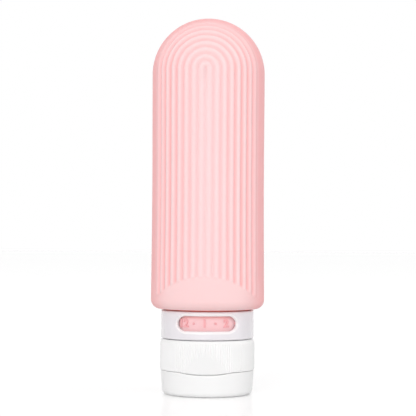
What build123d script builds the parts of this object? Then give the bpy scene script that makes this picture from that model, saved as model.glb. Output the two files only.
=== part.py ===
from build123d import *
from math import cos, hypot, radians, sin, sqrt
import os

os.makedirs("parts", exist_ok=True)

# The bottle stands upside down on its flip lid, as it is stored. The origin is the centre of the
# lid's flat face, +Z runs up to the dome, the thumb scoop and the window face -Y, the hinge +Y.

# Fits
running_gap = 0.3        # between pieces that turn, slide or swing past each other
seat_gap = 0.05          # round a piece that is pressed in by hand and stays
overrun = 1.0            # how far a cut runs past the face that it opens
root_bite = 0.2          # how deep a ridge is rooted in the wall that carries it

# Squeeze body
body_radius = 19.55
foot_flare = 0.12        # the side swells out by this much just above the shoulder
body_wall = 1.9
body_length = 81.35      # underside of the shoulder to the centre of the dome
swell_length = 26.0      # lower stretch over which the side swells out to the foot
shoulder_share = 0.596   # share of the ledge over the collar that is rounded off
inner_round = 1.6

# Arched ribs, front and back
ribs_each_side = 8
rib_step = 7.6           # degrees round the body from valley to valley
rib_height = 0.45
valley_lift = 0.03       # valley floors stand this far proud of the plain side
valley_round = 0.25
rib_block_half_depth = 9.0
panel_radius = 23.5      # plain round panel that ends the ribs
panel_rise = 10.9        # its top above the underside of the shoulder

# Neck of the squeeze body
band_gap = 0.6           # between the collar and the band that shows in its window
band_wall = 2.0
neck_wall = 1.6
lip_reach = 0.95         # how far the sealing lip stands out under the sleeve
lip_thickness = 0.65

# Label collar
collar_inset = 0.26      # its side stands this far inside the cap's side
collar_wall = 1.2
collar_height = 9.65
collar_floor = 1.25
collar_edge = 0.5
shoulder_gap = 0.4       # shadow gap under the shoulder
sleeve_wall = 1.2
window_height = 5.0
window_length = 19.2
window_drop = 4.1        # top of the collar to the middle of the window
window_edge = 0.9
collar_rest_turn = 2.4   # degrees that the collar stands turned on the neck

# Thread between collar and cap
thread_pitch = 2.0
thread_height = 0.8
thread_root_width = 0.9
thread_crest_width = 0.45
thread_margin = 0.35     # plain wall left beyond each end of a ridge

# Cap base
cap_radius = 16.36
cap_height = 10.5
cap_wall = 1.81
cap_edge_in = 0.65       # bevel round the open end
cap_edge_down = 1.1
knurl_count = 120
knurl_depth = 0.22
knurl_land_share = 0.5   # share of each pitch that is land
rim_depth = 1.35
snap_wall = 1.0          # ring that the lid's rim snaps over, seen in the lid's notch
snap_reach = 1.8         # how far it stands out under the rim
snap_bevel = 0.3
deck_thickness = 1.4
step_height = 0.5        # cone from the sealing bore out to the thread
mouth_bevel = 0.4
scoop_depth = 1.5
scoop_height = 6.45
scoop_round = 62.0       # radius of the slightly domed scoop face
boss_wall = 1.2
boss_height = 2.3

# Outlet, valve and seal
outlet_radius = 4.0
nozzle_wall = 1.2
nozzle_length = 2.9
valve_radius = 5.7
valve_thickness = 0.85
valve_flap_radius = 3.4
valve_bulge = 0.6
valve_skin = 0.6
slit_width = 0.1
slit_length = 5.0
retainer_radius = 5.95
retainer_bore = 3.6
retainer_thickness = 1.1
retainer_bevel = 0.3
seal_width = 3.2
seal_thickness = 0.8
seal_gap = 0.25

# Flip lid
lid_height = 8.25
lid_inset = 0.22         # its rim stands this far inside the cap's side
lid_draft = 0.47         # how far the side leans in from rim to foot
lid_foot_round = 1.75
lid_wall = 1.42
lid_floor = 1.4
lid_inner_round = 1.0
seam_gap = 0.3
notch_half_width = 9.3   # dip of the seam at the front, which the cap's tongue fills
notch_depth = 0.9
plug_wall = 1.0
plug_reach = 1.2         # how far the plug enters the nozzle
plug_bevel = 0.35

# Film hinge
hinge_width = 10.0
hinge_film = 0.35
hinge_leaf = 1.5
hinge_seat_width = 12.0
hinge_seat_depth = 1.34  # flat seat behind the cap's outside
hinge_seat_height = 2.3
hinge_pad = 1.6

# Heights, from the floor up
cap_bottom = lid_height + seam_gap
deck_bottom = cap_bottom + rim_depth
deck_top = deck_bottom + deck_thickness
seal_bottom = deck_top + seal_gap
seal_top = seal_bottom + seal_thickness
lip_bottom = seal_top + running_gap
lip_top = lip_bottom + lip_thickness
sleeve_bottom = lip_top + running_gap
cap_top = cap_bottom + cap_height
collar_bottom = cap_top + running_gap
collar_top = collar_bottom + collar_height
band_bottom = collar_bottom + collar_floor + running_gap
shoulder_bottom = collar_top + shoulder_gap
dome_centre = shoulder_bottom + body_length
window_centre = collar_top - window_drop

# Radii that one piece takes from its neighbour, from the cap inwards and upwards
thread_bore = cap_radius - cap_wall
sleeve_radius = thread_bore - running_gap - thread_height
sleeve_bore = sleeve_radius - sleeve_wall
neck_radius = sleeve_bore - running_gap
neck_bore = neck_radius - neck_wall
lip_radius = sleeve_bore + lip_reach
collar_radius = cap_radius - collar_inset
collar_bore = collar_radius - collar_wall
band_radius = collar_bore - band_gap
band_bore = band_radius - band_wall
foot_radius = body_radius + foot_flare
shoulder_round = (foot_radius - band_radius) * shoulder_share
seal_radius = lip_radius
seal_bore = seal_radius - seal_width
seal_bore_wall = lip_radius + running_gap
boss_bore = retainer_radius + seat_gap
plug_radius = outlet_radius - running_gap
lid_rim_radius = cap_radius - lid_inset
lid_foot_radius = lid_rim_radius - lid_draft
lid_lean = lid_draft / (lid_height - lid_floor - lid_inner_round)
snap_radius = lid_rim_radius - lid_wall - lid_lean * snap_reach - running_gap
rim_bore = snap_radius - snap_wall
notch_radius = (notch_half_width**2 + notch_depth**2) / (2 * notch_depth)
notch_centre = lid_height - notch_depth + notch_radius

# Film hinge line, on the flat seats of cap and lid
hinge_seat_y = cap_radius - hinge_seat_depth
hinge_axis_y = hinge_seat_y + hinge_film / 2
hinge_axis_z = lid_height + seam_gap / 2


def polar(radius, angle):
    """Point at an angle in degrees from -Y, counted towards +X."""
    return (radius * sin(radians(angle)), -radius * cos(radians(angle)))


def rib_section(plane):
    """Half section of the ribbed front: rib crests and valleys, closed behind by a flat back."""
    valley_radius = body_radius + valley_lift
    crest_radius = body_radius + rib_height
    outer_angle = ribs_each_side * rib_step
    sunk_radius = body_radius - rib_height
    with BuildSketch(plane) as section:
        with BuildLine():
            for step in range(ribs_each_side):
                start, end = step * rib_step, (step + 1) * rib_step
                end_radius = sunk_radius if step == ribs_each_side - 1 else valley_radius
                ThreePointArc(
                    polar(valley_radius, start),
                    polar(crest_radius, (start + end) / 2),
                    polar(end_radius, end),
                )
            last = polar(sunk_radius, outer_angle)
            Polyline(last, (last[0], -rib_block_half_depth), (0, -rib_block_half_depth))
            Line((0, -rib_block_half_depth), polar(valley_radius, 0))
        make_face()
        valleys = section.vertices().filter_by(
            lambda v: any(
                (v.center() - plane.from_local_coords(Vector(*polar(valley_radius, k * rib_step)))).length
                < valley_lift
                for k in range(1, ribs_each_side)
            )
        )
        fillet(valleys, valley_round)
    return section.sketch


# Silicone bottle: ribbed front block, straight below the centre of the dome and turned about the
# front-to-back axis above it, cut off by the round panel
dome_plane = Plane.XY.offset(dome_centre)
half_section = rib_section(dome_plane)
dome_axis = Axis((0, 0, dome_centre), (0, 1, 0))
panel_centre = shoulder_bottom + panel_rise - panel_radius

with BuildPart() as rib_block:
    extrude(half_section, amount=-(dome_centre - shoulder_bottom - shoulder_round))
    revolve(half_section, axis=dome_axis, revolution_arc=-90)
    mirror(about=Plane.YZ)
    with BuildSketch(Plane.XZ.offset(body_radius + rib_height)):
        with Locations((0, panel_centre)):
            Circle(panel_radius)
    extrude(amount=-(body_radius + rib_height), mode=Mode.SUBTRACT)

with BuildPart() as silicone_bottle:
    with BuildSketch(Plane.XZ) as outer_profile:
        with BuildLine():
            dome_top = (0, dome_centre + body_radius)
            dome_side = (body_radius, dome_centre)
            CenterArc((0, dome_centre), body_radius, 0, 90)
            swell_top = shoulder_bottom + shoulder_round + swell_length
            Line(dome_side, (body_radius, swell_top))
            SagittaArc(
                (body_radius, swell_top),
                (foot_radius, shoulder_bottom + shoulder_round),
                (foot_radius - body_radius) / 4,
            )
            RadiusArc(
                (foot_radius, shoulder_bottom + shoulder_round),
                (foot_radius - shoulder_round, shoulder_bottom),
                shoulder_round,
            )
            Polyline(
                (foot_radius - shoulder_round, shoulder_bottom),
                (band_radius, shoulder_bottom),
                (band_radius, band_bottom),
                (neck_radius, band_bottom),
                (neck_radius, lip_top),
                (lip_radius, lip_top),
                (lip_radius, lip_bottom),
                (0, lip_bottom),
                dome_top,
            )
        make_face()
    revolve(axis=Axis.Z)
    add(rib_block.part)
    add(mirror(rib_block.part, about=Plane.XZ, mode=Mode.PRIVATE))
    with BuildSketch(Plane.XZ) as cavity_profile:
        with BuildLine():
            cavity_radius = body_radius - body_wall
            cavity_bottom = shoulder_bottom + body_wall
            band_inner_bottom = band_bottom + band_wall
            CenterArc((0, dome_centre), cavity_radius, 0, 90)
            Line((cavity_radius, dome_centre), (cavity_radius, cavity_bottom + inner_round))
            RadiusArc(
                (cavity_radius, cavity_bottom + inner_round),
                (cavity_radius - inner_round, cavity_bottom),
                inner_round,
            )
            Polyline(
                (cavity_radius - inner_round, cavity_bottom),
                (band_bore, cavity_bottom),
                (band_bore, band_inner_bottom),
                (neck_bore, band_inner_bottom),
                (neck_bore, lip_bottom - overrun),
                (0, lip_bottom - overrun),
                (0, dome_centre + cavity_radius),
            )
        make_face()
    revolve(axis=Axis.Z, mode=Mode.SUBTRACT)

silicone_bottle.part.label = "silicone_bottle"
export_step(silicone_bottle.part, "parts/silicone_bottle.step")


def thread_ridge(root_radius, outward, start_height, turns):
    """One helical ridge of trapezoid section, rooted in a wall at root_radius."""
    with BuildPart() as ridge:
        with BuildLine() as path:
            Helix(thread_pitch, thread_pitch * turns, root_radius, center=(0, 0, start_height))
        with BuildSketch(Plane(origin=path.line @ 0, x_dir=(outward, 0, 0), z_dir=path.line % 0)):
            Polygon(
                (-root_bite, -thread_root_width / 2),
                (thread_height, -thread_crest_width / 2),
                (thread_height, thread_crest_width / 2),
                (-root_bite, thread_root_width / 2),
                align=None,
            )
        sweep(path=path.line, is_frenet=True)
    return ridge.part


outside_thread_start = sleeve_bottom + thread_margin + thread_root_width / 2
outside_thread_turns = (
    collar_bottom - thread_margin - thread_root_width / 2 - outside_thread_start
) / thread_pitch

with BuildPart() as label_collar:
    with BuildSketch(Plane.XY.offset(collar_bottom)):
        Circle(collar_radius)
        Circle(sleeve_bore, mode=Mode.SUBTRACT)
    extrude(amount=collar_height)
    with BuildSketch(Plane.XY.offset(collar_bottom + collar_floor)):
        Circle(collar_bore)
    extrude(amount=collar_height, mode=Mode.SUBTRACT)
    rims = label_collar.edges().filter_by(GeomType.CIRCLE).filter_by(
        lambda e: abs(e.radius - collar_radius) < collar_wall / 2
    )
    fillet(rims, collar_edge)
    with BuildSketch(Plane.XY.offset(sleeve_bottom)):
        Circle(sleeve_radius)
        Circle(sleeve_bore, mode=Mode.SUBTRACT)
    extrude(amount=collar_bottom - sleeve_bottom + root_bite)
    add(thread_ridge(sleeve_radius, 1, outside_thread_start, outside_thread_turns))
    window_plane = Plane(
        origin=(0, 0, window_centre),
        x_dir=(*polar(1, 90 + collar_rest_turn), 0),
        z_dir=(*polar(1, collar_rest_turn), 0),
    )
    with BuildSketch(window_plane):
        SlotOverall(window_length, window_height)
    extrude(amount=collar_radius + overrun, mode=Mode.SUBTRACT)
    window_rim = label_collar.edges().filter_by(
        lambda e: abs(hypot(e.center().X, e.center().Y) - collar_radius) < window_edge / 2
        and abs(e.center().Z - window_centre) < (window_height + window_edge) / 2
    )
    fillet(window_rim, window_edge)

label_collar.part.label = "label_collar"
export_step(label_collar.part, "parts/label_collar.step")

# Cap base, with the ring that the lid's rim snaps over, open at the hinge, and with the tongue that
# carries the scoop down into the notch of the lid
inside_thread_start = lip_top + step_height + running_gap + thread_margin + thread_root_width / 2
inside_thread_turns = (
    cap_top - mouth_bevel - thread_root_width / 2 - thread_margin - inside_thread_start
) / thread_pitch
half_pitch = thread_pitch / 2
inside_thread_turn = (inside_thread_start - outside_thread_start - half_pitch) / thread_pitch * 360

snap_end = cap_bottom - snap_reach

with BuildPart() as snap_ring:
    with BuildSketch(Plane.XZ):
        Polygon(
            (rim_bore, cap_bottom + root_bite),
            (rim_bore, snap_end),
            (snap_radius - snap_bevel, snap_end),
            (snap_radius, snap_end + snap_bevel),
            (snap_radius, cap_bottom + root_bite),
            align=None,
        )
    revolve(axis=Axis.Z)
    with BuildSketch(Plane.XY.offset(snap_end)):
        with Locations((0, snap_radius)):
            Rectangle(hinge_seat_width + running_gap * 2, snap_radius)
    extrude(amount=snap_reach + root_bite, mode=Mode.SUBTRACT)

with BuildPart() as thumb_tongue:
    with BuildSketch(Plane.XY.offset(cap_bottom - notch_depth)):
        Circle(cap_radius - knurl_depth)
        Circle(rim_bore, mode=Mode.SUBTRACT)
    extrude(amount=notch_depth + root_bite)
    with BuildSketch(Plane.XZ.offset(cap_radius / 2)):
        with Locations((0, notch_centre)):
            Circle(notch_radius - seam_gap)
    extrude(amount=cap_radius, mode=Mode.INTERSECT)

with BuildPart() as cap_base:
    knurl_step = 360 / knurl_count
    with BuildSketch(Plane.XY.offset(cap_bottom)):
        with BuildLine():
            outline = []
            for rib in range(knurl_count):
                land = rib * knurl_step
                outline.append(polar(cap_radius, land))
                outline.append(polar(cap_radius, land + knurl_step * knurl_land_share))
                outline.append(polar(cap_radius - knurl_depth, land + knurl_step * (1 + knurl_land_share) / 2))
            Polyline(*outline, close=True)
        make_face()
    extrude(amount=cap_height)
    with BuildSketch(Plane.XZ):
        reach = cap_edge_down / cap_edge_in * overrun
        Polygon(
            (cap_radius - cap_edge_in, cap_top),
            (cap_radius + overrun, cap_top),
            (cap_radius + overrun, cap_top - cap_edge_down - reach),
            align=None,
        )
    revolve(axis=Axis.Z, mode=Mode.SUBTRACT)
    with BuildSketch(Plane.XZ):
        step_bottom = lip_top + running_gap
        Polygon(
            (0, deck_top),
            (seal_bore_wall, deck_top),
            (seal_bore_wall, step_bottom),
            (thread_bore, step_bottom + step_height),
            (thread_bore, cap_top - mouth_bevel),
            (thread_bore + mouth_bevel + overrun, cap_top + overrun),
            (0, cap_top + overrun),
            align=None,
        )
    revolve(axis=Axis.Z, mode=Mode.SUBTRACT)
    with BuildSketch(Plane.XY.offset(deck_bottom)):
        Circle(rim_bore)
    extrude(amount=-(rim_depth + overrun), mode=Mode.SUBTRACT)
    add(snap_ring.part)
    add(thumb_tongue.part)
    with BuildSketch(Plane.XY.offset(deck_top)):
        Circle(boss_bore + boss_wall)
        Circle(boss_bore, mode=Mode.SUBTRACT)
    extrude(amount=boss_height)
    with BuildSketch(Plane.XY.offset(deck_bottom)):
        Circle(outlet_radius + nozzle_wall)
    extrude(amount=-nozzle_length)
    with BuildSketch(Plane.XY.offset(deck_top)):
        Circle(outlet_radius)
    extrude(amount=-(deck_thickness + nozzle_length + overrun), mode=Mode.SUBTRACT)
    add(
        thread_ridge(thread_bore, -1, inside_thread_start, inside_thread_turns),
        rotation=(0, 0, inside_thread_turn),
    )
    scoop_slant = sqrt(scoop_depth**2 + scoop_height**2)
    scoop_plane = Plane(
        origin=(0, -(cap_radius - scoop_depth), cap_bottom),
        x_dir=(1, 0, 0),
        z_dir=(0, -scoop_depth / scoop_slant, scoop_height / scoop_slant),
    )
    scoop_edge = sqrt(2 * scoop_depth * cap_radius * scoop_round / (scoop_round - cap_radius))
    scoop_half = scoop_edge + overrun
    scoop_back = scoop_round - sqrt(scoop_round**2 - scoop_half**2)
    with BuildSketch(scoop_plane.offset(-(notch_depth + overrun))):
        with BuildLine():
            ThreePointArc((-scoop_half, scoop_back), (0, 0), (scoop_half, scoop_back))
            Polyline(
                (scoop_half, scoop_back),
                (scoop_half, -scoop_depth - overrun),
                (-scoop_half, -scoop_depth - overrun),
                (-scoop_half, scoop_back),
            )
        make_face()
    extrude(amount=notch_depth + scoop_slant + overrun * 2, mode=Mode.SUBTRACT)
    with BuildSketch(Plane.XY.offset(cap_bottom - overrun)):
        with Locations((0, hinge_seat_y + hinge_seat_depth)):
            Rectangle(hinge_seat_width, hinge_seat_depth * 2)
    extrude(amount=hinge_seat_height + overrun, mode=Mode.SUBTRACT)

cap_base.part.label = "cap_base"
export_step(cap_base.part, "parts/cap_base.step")

with BuildPart() as flip_lid:
    with BuildSketch(Plane.XZ):
        with BuildLine():
            Line((0, 0), (lid_foot_radius - lid_foot_round, 0))
            RadiusArc(
                (lid_foot_radius - lid_foot_round, 0), (lid_foot_radius, lid_foot_round), -lid_foot_round
            )
            Polyline(
                (lid_foot_radius, lid_foot_round),
                (lid_rim_radius, lid_height),
                (lid_rim_radius - lid_wall, lid_height),
                (lid_foot_radius - lid_wall, lid_floor + lid_inner_round),
                (lid_foot_radius - lid_wall - lid_inner_round, lid_floor),
                (0, lid_floor),
                (0, 0),
            )
        make_face()
    revolve(axis=Axis.Z)
    with BuildSketch(Plane.XY.offset(lid_floor)):
        Circle(plug_radius)
        Circle(plug_radius - plug_wall, mode=Mode.SUBTRACT)
    extrude(amount=deck_bottom - nozzle_length + plug_reach - lid_floor)
    plug_edges = flip_lid.edges().filter_by(GeomType.CIRCLE).filter_by(
        lambda e: abs(e.radius - plug_radius) < plug_wall / 2
    )
    chamfer(plug_edges.sort_by(Axis.Z)[-1], plug_bevel)
    with BuildSketch(Plane.XZ.offset(lid_rim_radius + overrun)):
        with Locations((0, notch_centre)):
            Circle(notch_radius)
    extrude(amount=-(lid_rim_radius / 2), mode=Mode.SUBTRACT)
    with BuildSketch(Plane.XY.offset(lid_height)):
        with Locations((0, hinge_seat_y - hinge_pad / 2)):
            Rectangle(hinge_seat_width, hinge_pad)
    extrude(amount=-(hinge_seat_height + hinge_pad))
    with BuildSketch(Plane.XY.offset(lid_height)):
        with Locations((0, hinge_seat_y + hinge_seat_depth)):
            Rectangle(hinge_seat_width, hinge_seat_depth * 2)
    extrude(amount=-hinge_seat_height, mode=Mode.SUBTRACT)

flip_lid.part.label = "flip_lid"
export_step(flip_lid.part, "parts/flip_lid.step")

with BuildPart() as hinge_web:
    with BuildSketch(Plane.YZ.offset(-hinge_width / 2)):
        with Locations((hinge_axis_y, hinge_axis_z)):
            Rectangle(hinge_film, 2 * hinge_leaf)
            Circle(hinge_film / 2 + seat_gap)
    extrude(amount=hinge_width)

hinge_web.part.label = "hinge_web"
export_step(hinge_web.part, "parts/hinge_web.step")

with BuildPart() as no_drip_valve:
    with BuildSketch(Plane.XZ):
        with BuildLine():
            flap_low = deck_top - valve_bulge
            RadiusArc((0, flap_low), (valve_flap_radius, deck_top), -valve_flap_radius * 3)
            Polyline(
                (valve_flap_radius, deck_top),
                (valve_radius, deck_top),
                (valve_radius, deck_top + valve_thickness),
                (valve_flap_radius, deck_top + valve_thickness),
            )
            RadiusArc(
                (valve_flap_radius, deck_top + valve_thickness),
                (0, flap_low + valve_skin),
                valve_flap_radius * 3,
            )
            Line((0, flap_low + valve_skin), (0, flap_low))
        make_face()
    revolve(axis=Axis.Z)
    with BuildSketch(Plane.XY.offset(deck_top - valve_bulge)):
        Rectangle(slit_length, slit_width)
        Rectangle(slit_width, slit_length)
    extrude(amount=valve_bulge + valve_thickness, mode=Mode.SUBTRACT)

no_drip_valve.part.label = "no_drip_valve"
export_step(no_drip_valve.part, "parts/no_drip_valve.step")

with BuildPart() as valve_retainer:
    with BuildSketch(Plane.XY.offset(deck_top + valve_thickness)):
        Circle(retainer_radius)
        Circle(retainer_bore, mode=Mode.SUBTRACT)
    extrude(amount=retainer_thickness)
    retainer_top = valve_retainer.faces().sort_by(Axis.Z)[-1]
    chamfer(retainer_top.edges(), retainer_bevel)

valve_retainer.part.label = "valve_retainer"
export_step(valve_retainer.part, "parts/valve_retainer.step")

with BuildPart() as seal_ring:
    with BuildSketch(Plane.XY.offset(seal_bottom)):
        Circle(seal_radius)
        Circle(seal_bore, mode=Mode.SUBTRACT)
    extrude(amount=seal_thickness)

seal_ring.part.label = "seal_ring"
export_step(seal_ring.part, "parts/seal_ring.step")
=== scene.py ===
"""Looks of a soft travel bottle that stands upside down on its flip lid.

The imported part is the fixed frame. Every class below dresses or rebuilds one sub-assembly of it.
Sizes are in millimetres, and a piece is turned into metres when it is made.
"""

import logging
import math
from dataclasses import dataclass, field
from enum import Enum

import bmesh
import bpy
from mathutils import Matrix, Quaternion, Vector


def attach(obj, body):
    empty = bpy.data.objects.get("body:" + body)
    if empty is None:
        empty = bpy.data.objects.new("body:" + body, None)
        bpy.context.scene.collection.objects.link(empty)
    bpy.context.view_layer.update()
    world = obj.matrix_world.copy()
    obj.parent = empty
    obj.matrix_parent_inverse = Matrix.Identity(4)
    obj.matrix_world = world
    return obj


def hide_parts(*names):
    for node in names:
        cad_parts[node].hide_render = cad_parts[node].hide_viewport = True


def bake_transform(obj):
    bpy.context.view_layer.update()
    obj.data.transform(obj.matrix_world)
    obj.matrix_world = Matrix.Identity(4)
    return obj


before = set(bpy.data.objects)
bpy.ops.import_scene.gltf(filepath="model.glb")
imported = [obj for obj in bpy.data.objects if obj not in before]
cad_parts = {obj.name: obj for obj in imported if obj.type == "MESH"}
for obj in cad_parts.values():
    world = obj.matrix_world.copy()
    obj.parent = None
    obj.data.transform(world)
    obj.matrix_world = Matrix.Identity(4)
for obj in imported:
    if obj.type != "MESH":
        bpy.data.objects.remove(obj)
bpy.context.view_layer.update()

LOG = logging.getLogger("travel_bottle")
MM = 0.001
STRAIGHT = 1e-9  # bow of a curve that counts as none
WELL_FACING = 0.5  # cosine of a column's turn from straight ahead, or from straight behind
Point = tuple[float, float, float]
Profile = list[tuple[float, float]]
Colour = tuple[float, float, float]
Socket = bpy.types.NodeSocket


class Body(Enum):
    """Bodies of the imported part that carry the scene's own pieces."""

    BOTTLE = "bottle"
    CAP = "cap"
    LID = "lid"


class Slot(Enum):
    """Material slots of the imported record."""

    PINK_SILICONE = "pink_silicone"
    FROSTED_PLASTIC = "frosted_plastic"
    WHITE_PLASTIC = "white_plastic"
    CLEAR_SILICONE = "clear_silicone"


class Face(Enum):
    """The two ribbed faces of the bottle, as the sign of Y on each."""

    FRONT = -1
    BACK = 1


def smooth_step(value: float, start: float, end: float) -> float:
    """Rises smoothly from 0 to 1.

    Args:
        value: Where to read the rise.
        start: Where the rise begins.
        end: Where the rise is complete.

    Returns:
        0 up to start, 1 from end on.
    """
    share = min(1.0, max(0.0, (value - start) / (end - start)))
    return share * share * (3 - 2 * share)


def soft_min(first: float, second: float, width: float) -> float:
    """Smaller of two lengths, with the corner between them rounded.

    Args:
        first: One length.
        second: The other length.
        width: How far apart the lengths are where the rounding ends.

    Returns:
        The smaller length, a little less near a tie.
    """
    blend = max(0.0, width - abs(first - second)) / width
    return min(first, second) - blend * blend * width / 4


def polar(radius: float, turn: float, height: float) -> Point:
    """Point at a turn in degrees from the front, counted towards +X.

    Args:
        radius: Distance from the upright axis.
        turn: Degrees from the front.
        height: Height over the floor.

    Returns:
        The point's X, Y and Z.
    """
    angle = math.radians(turn)
    return (radius * math.sin(angle), -radius * math.cos(angle), height)


def rounded_corner(before: tuple[float, float], corner: tuple[float, float],
                   after: tuple[float, float], radius: float, steps: int = 4) -> Profile:
    """Replaces a profile's corner by an arc.

    Args:
        before: Profile point before the corner.
        corner: The sharp corner.
        after: Profile point after the corner.
        radius: Radius of the arc.
        steps: Number of runs along the arc.

    Returns:
        The arc's points, in the profile's order.
    """
    at = Vector(corner)
    back = (Vector(before) - at).normalized()
    forth = (Vector(after) - at).normalized()
    half = back.angle(forth) / 2
    centre = at + (back + forth).normalized() * (radius / math.sin(half))
    first = at + back * (radius / math.tan(half)) - centre
    last = at + forth * (radius / math.tan(half)) - centre
    sweep = first.angle_signed(last)
    points = []
    for step in range(steps + 1):
        turned = Matrix.Rotation(-sweep * step / steps, 2) @ first
        points.append((centre.x + turned.x, centre.y + turned.y))
    return points


def rounded_profile(points: list[tuple[float, float, float]]) -> Profile:
    """Rounds the corners of a profile.

    Args:
        points: Radius, height and corner radius of each corner in turn.

    Returns:
        Radius and height of each point, with an arc in place of each rounded corner.
    """
    made: Profile = []
    for index, (across, height, corner_radius) in enumerate(points):
        if corner_radius == 0:
            made.append((across, height))
            continue
        before, after = points[index - 1], points[(index + 1) % len(points)]
        made += rounded_corner(before[:2], (across, height), after[:2], corner_radius)
    return made


def steps_up(start: float, *stretches: tuple[float, float]) -> list[float]:
    """Lists heights from a start upwards, in stretches of equal steps.

    Args:
        start: The lowest height.
        stretches: End and step of each stretch in turn.

    Returns:
        The heights, each below the end of its stretch.
    """
    heights = []
    for end, step in stretches:
        while start < end:
            heights.append(start)
            start += step
    return heights


class MeshDraft:
    """Points and faces of a piece while it is drawn, in millimetres."""

    def __init__(self) -> None:
        """Starts an empty draft."""
        self.points: list[Point] = []
        self.faces: list[tuple[int, ...]] = []

    def row(self, points: list[Point]) -> list[int]:
        """Adds a row of points.

        Args:
            points: The row's points in order.

        Returns:
            Their numbers in the draft.
        """
        start = len(self.points)
        self.points.extend(points)
        return list(range(start, len(self.points)))

    def ring(self, radius: float, height: float, turns: list[float]) -> list[int]:
        """Adds a level ring of points round the upright axis.

        Args:
            radius: The ring's radius.
            height: Its height over the floor.
            turns: Degrees of each point.

        Returns:
            Their numbers in the draft.
        """
        return self.row([polar(radius, turn, height) for turn in turns])

    def bridge(self, low: list[int], high: list[int], closed: bool = True) -> None:
        """Joins two rows of equal length with quads.

        Args:
            low: First row.
            high: Second row.
            closed: Whether the rows run all the way round.
        """
        count = len(low)
        for index in range(count if closed else count - 1):
            after = (index + 1) % count
            self.faces.append((low[index], low[after], high[after], high[index]))

    def loft(self, rows: list[list[int]], closed: bool = True) -> None:
        """Joins each row to the next.

        Args:
            rows: Rows of equal length.
            closed: Whether the rows run all the way round.
        """
        for low, high in zip(rows, rows[1:]):
            self.bridge(low, high, closed)

    def fan(self, ring: list[int], tip: Point) -> None:
        """Closes a ring with triangles to one point.

        Args:
            ring: The ring's point numbers.
            tip: The point that the triangles meet at.
        """
        centre = self.row([tip])[0]
        for index, number in enumerate(ring):
            self.faces.append((number, ring[(index + 1) % len(ring)], centre))

    def spin(self, profile: Profile, turns: list[float]) -> list[list[int]]:
        """Turns a profile about the upright axis.

        Args:
            profile: Radius and height of each point.
            turns: Degrees of each column of points.

        Returns:
            One ring of point numbers for each profile point.
        """
        rings = [self.ring(across, height, turns) for across, height in profile]
        self.loft(rings)
        return rings

    def to_piece(self, name: str) -> bpy.types.Object:
        """Makes the draft into a shaded Blender object.

        Args:
            name: The piece's name.

        Returns:
            The object, at the origin, with its place in its mesh.
        """
        mesh = bpy.data.meshes.new(name)
        mesh.from_pydata([(x * MM, y * MM, z * MM) for x, y, z in self.points], [], self.faces)
        work = bmesh.new()
        work.from_mesh(mesh)
        bmesh.ops.recalc_face_normals(work, faces=work.faces)
        work.to_mesh(mesh)
        work.free()
        mesh.shade_smooth()
        piece = bpy.data.objects.new(name, mesh)
        bpy.context.scene.collection.objects.link(piece)
        return piece


@dataclass(frozen=True)
class Ribs:
    """Arched ribs on one face of the bottle, and the plain round panel that ends them."""

    each_side: int = 8
    step: float = 7.6
    height: float = 0.46
    valley: float = -0.1
    valley_round: float = 0.06
    fade: float = 1.1
    panel_radius: float = 23.5
    panel_top: float = 40.3
    panel_lowest: float = 33.0
    panel_surface: float = 19.84
    panel_side: float = 57.0
    arch_centre: float = 110.75
    neck_top: float = 29.4

    def lift(self, turn: float) -> float:
        """Height of the ribs over the plain side.

        Args:
            turn: Degrees from the middle of the face.

        Returns:
            The crest height on top of a rib, a little below 0 in a valley, 0 on the plain side.
        """
        along = turn / self.step
        if along >= self.each_side + self.valley_round:
            return 0.0
        from_valley = abs(along - round(along))
        soft = math.hypot(from_valley, self.valley_round) - self.valley_round
        lift = self.valley + (self.height - self.valley) * 4 * soft * (1 - soft)
        if along > self.each_side - 0.5:
            low = self.valley * (1 - smooth_step(along, self.each_side - 0.5, self.each_side))
            return max(lift - self.valley + low, 0.0) if along <= self.each_side else 0.0
        return lift

    def panel_edge(self, across: float) -> float:
        """Height at which the ribs end in the panel.

        Args:
            across: Distance from the middle plane of the face.

        Returns:
            Height of the panel's round edge, kept above the shoulder.
        """
        drop = self.panel_radius - math.sqrt(self.panel_radius**2 - across**2)
        return max(self.panel_top - drop, self.panel_lowest)


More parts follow.
